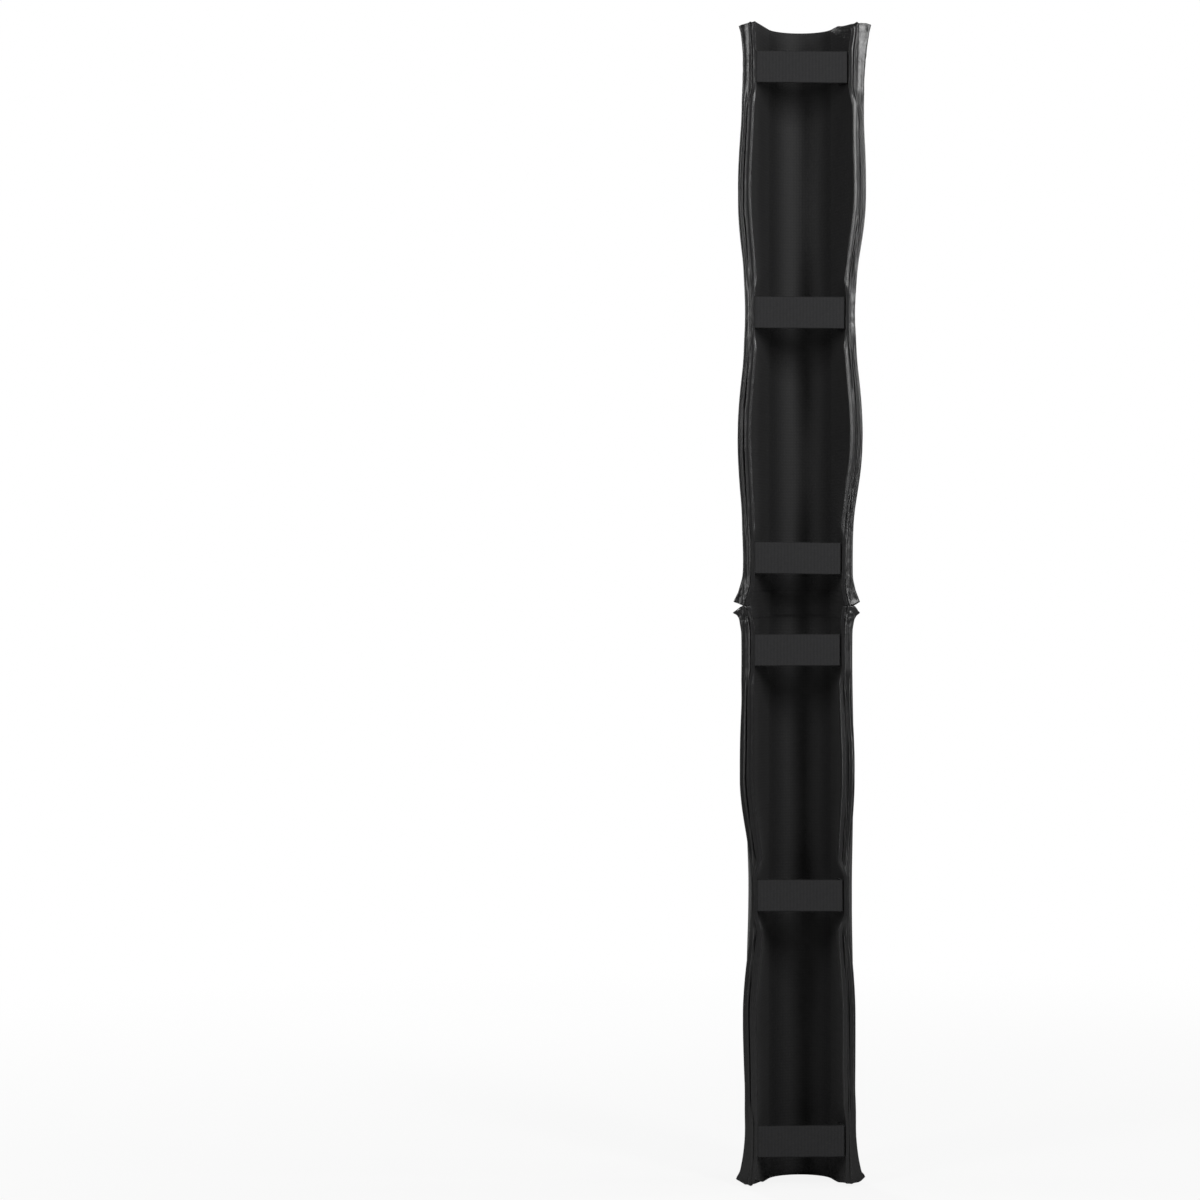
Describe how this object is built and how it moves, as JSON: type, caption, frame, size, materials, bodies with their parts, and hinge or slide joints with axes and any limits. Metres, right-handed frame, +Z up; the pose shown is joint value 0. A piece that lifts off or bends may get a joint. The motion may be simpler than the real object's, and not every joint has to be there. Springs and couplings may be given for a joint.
{
  "type": "pole pad",
  "caption": "Foam pad in black vinyl leather that wraps round a basketball post, with a seam half way up and webbing straps across its open back",
  "frame": {"origin": "on the post's axis, level with the pad's lower end", "axes": "+Z up along the post, the rounded front faces -Y, the open side with the straps faces +Y"},
  "size_m": [0.2028, 0.1429, 1.8288],
  "materials": {
    "vinyl_leather": "black grained vinyl leather, satin",
    "foam": "closed-cell foam, grey",
    "lining": "plain woven lining, black",
    "binding": "folded edge tape, black",
    "webbing": "woven webbing, dark grey",
    "hook_and_loop": "hook-and-loop tape, black"
  },
  "bodies": {
    "right_shell": {"lower_foam_right": "foam", "lower_cover_right": "vinyl_leather", "lower_lining_right": "lining", "lower_binding_right": "binding", "upper_foam_right": "foam", "upper_cover_right": "vinyl_leather", "upper_lining_right": "lining", "upper_binding_right": "binding", "seam_web_right": "lining", "strap_1_sewn_end": "webbing", "strap_2_sewn_end": "webbing", "strap_3_sewn_end": "webbing", "strap_4_sewn_end": "webbing", "strap_5_sewn_end": "webbing", "strap_6_sewn_end": "webbing"},
    "left_shell": {"lower_foam_left": "foam", "lower_cover_left": "vinyl_leather", "lower_lining_left": "lining", "lower_binding_left": "binding", "upper_foam_left": "foam", "upper_cover_left": "vinyl_leather", "upper_lining_left": "lining", "upper_binding_left": "binding", "seam_web_left": "lining", "strap_1_loop_patch": "hook_and_loop", "strap_2_loop_patch": "hook_and_loop", "strap_3_loop_patch": "hook_and_loop", "strap_4_loop_patch": "hook_and_loop", "strap_5_loop_patch": "hook_and_loop", "strap_6_loop_patch": "hook_and_loop"},
    "strap_1_free": {"strap_1": "webbing", "strap_1_hook_patch": "hook_and_loop"},
    "strap_2_free": {"strap_2": "webbing", "strap_2_hook_patch": "hook_and_loop"},
    "strap_3_free": {"strap_3": "webbing", "strap_3_hook_patch": "hook_and_loop"},
    "strap_4_free": {"strap_4": "webbing", "strap_4_hook_patch": "hook_and_loop"},
    "strap_5_free": {"strap_5": "webbing", "strap_5_hook_patch": "hook_and_loop"},
    "strap_6_free": {"strap_6": "webbing", "strap_6_hook_patch": "hook_and_loop"}
  },
  "joints": [
    {"name": "wrap_open", "type": "hinge", "parent": "right_shell", "child": "left_shell", "pos_m": [0, -0.08, 0.9144], "axis": [0, 0, 1], "range_deg": [0, 150]},
    {"name": "strap_1_peel", "type": "hinge", "parent": "right_shell", "child": "strap_1_free", "pos_m": [0.0703, 0.0635, 0.072], "axis": [0, 0, -1], "range_deg": [0, 180]},
    {"name": "strap_2_peel", "type": "hinge", "parent": "right_shell", "child": "strap_2_free", "pos_m": [0.0703, 0.0635, 0.4572], "axis": [0, 0, -1], "range_deg": [0, 180]},
    {"name": "strap_3_peel", "type": "hinge", "parent": "right_shell", "child": "strap_3_free", "pos_m": [0.0703, 0.0635, 0.8424], "axis": [0, 0, -1], "range_deg": [0, 180]},
    {"name": "strap_4_peel", "type": "hinge", "parent": "right_shell", "child": "strap_4_free", "pos_m": [0.0703, 0.0635, 0.9864], "axis": [0, 0, -1], "range_deg": [0, 180]},
    {"name": "strap_5_peel", "type": "hinge", "parent": "right_shell", "child": "strap_5_free", "pos_m": [0.0703, 0.0635, 1.3716], "axis": [0, 0, -1], "range_deg": [0, 180]},
    {"name": "strap_6_peel", "type": "hinge", "parent": "right_shell", "child": "strap_6_free", "pos_m": [0.0703, 0.0635, 1.7568], "axis": [0, 0, -1], "range_deg": [0, 180]}
  ]
}
